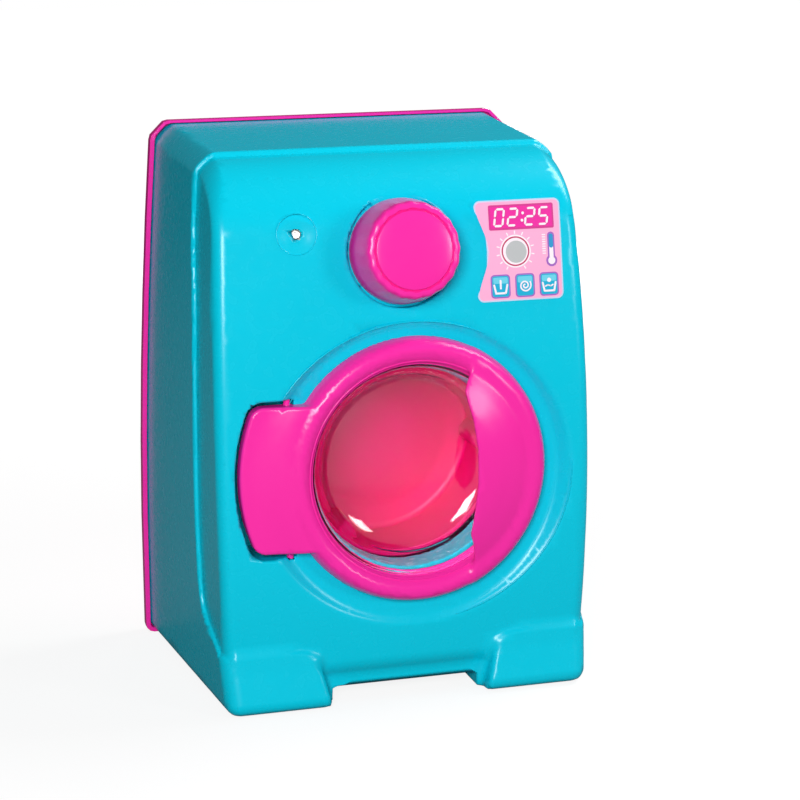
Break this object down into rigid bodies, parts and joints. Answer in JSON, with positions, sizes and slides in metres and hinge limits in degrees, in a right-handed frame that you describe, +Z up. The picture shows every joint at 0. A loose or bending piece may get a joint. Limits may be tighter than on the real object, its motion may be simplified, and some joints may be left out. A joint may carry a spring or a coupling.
{
  "type": "toy washing machine",
  "caption": "Toy front-loading washing machine with a hinged round door and clear window, turning drum and knob, lamp, control sticker and battery sound unit.",
  "frame": {"origin": "middle of the bounding box, on the floor", "axes": "+Z up, +Y from the front face to the back cover, +X to the right seen from the front"},
  "size_m": [0.2458, 0.187, 0.32],
  "materials": {
    "cyan_shell": "injection-moulded, glossy",
    "pink_moulding": "injection-moulded, glossy",
    "clear_moulding": "clear moulded plastic",
    "printed_sticker": "printed film, satin",
    "white_moulding": "moulded, satin",
    "black_moulding": "moulded, satin",
    "steel": "zinc-plated",
    "board": "solder-mask laminate",
    "cell_jacket": "printed jacket"
  },
  "bodies": {
    "case": {"front_shell": "cyan_shell", "back_cover": "pink_moulding", "case_screw_1": "steel", "case_screw_2": "steel", "case_screw_3": "steel", "case_screw_4": "steel", "case_screw_5": "steel", "case_screw_6": "steel", "drum_bearing": "white_moulding", "hinge_pin_top": "pink_moulding", "hinge_pin_bottom": "pink_moulding", "click_spring": "steel", "led_lamp": "clear_moulding", "led_clip": "white_moulding", "control_sticker": "printed_sticker", "circuit_board": "board", "sound_chip": "black_moulding", "speaker_frame": "steel", "speaker_cone": "black_moulding", "speaker_magnet": "steel", "battery_1": "cell_jacket", "battery_2": "cell_jacket", "contact_bridge": "steel", "contact_plus": "steel", "contact_minus": "steel", "switch_housing": "black_moulding"},
    "door": {"door_frame": "pink_moulding", "door_window": "clear_moulding", "window_retainer": "pink_moulding"},
    "drum": {"drum": "pink_moulding", "drum_axle": "steel", "drum_clip": "steel"},
    "knob": {"knob": "pink_moulding", "knob_spindle": "white_moulding", "click_wheel": "white_moulding", "knob_screw": "steel"},
    "switch_slider": {"switch_slider": "black_moulding"},
    "battery_lid": {"battery_lid": "pink_moulding", "lid_screw_1": "steel", "lid_screw_2": "steel"}
  },
  "joints": [
    {"name": "door_hinge", "type": "hinge", "parent": "case", "child": "door", "pos_m": [-0.068, -0.0708, 0.13547], "axis": [0, -0.0349, -0.9994], "range_deg": [0, 90]},
    {"name": "drum_spin", "type": "hinge", "parent": "case", "child": "drum", "pos_m": [0.0055, -0.0151, 0.13552], "axis": [0, 1, 0], "continuous": true},
    {"name": "knob_turn", "type": "hinge", "parent": "case", "child": "knob", "pos_m": [0.001, -0.06529, 0.25952], "axis": [0, -0.9842, 0.1771], "continuous": true},
    {"name": "switch_slide", "type": "slide", "parent": "case", "child": "switch_slider", "axis": [1, 0, 0], "range_m": [0, 0.0028]},
    {"name": "lid_off", "type": "slide", "parent": "case", "child": "battery_lid", "axis": [0, 1, 0], "range_m": [0, 0.02]}
  ]
}
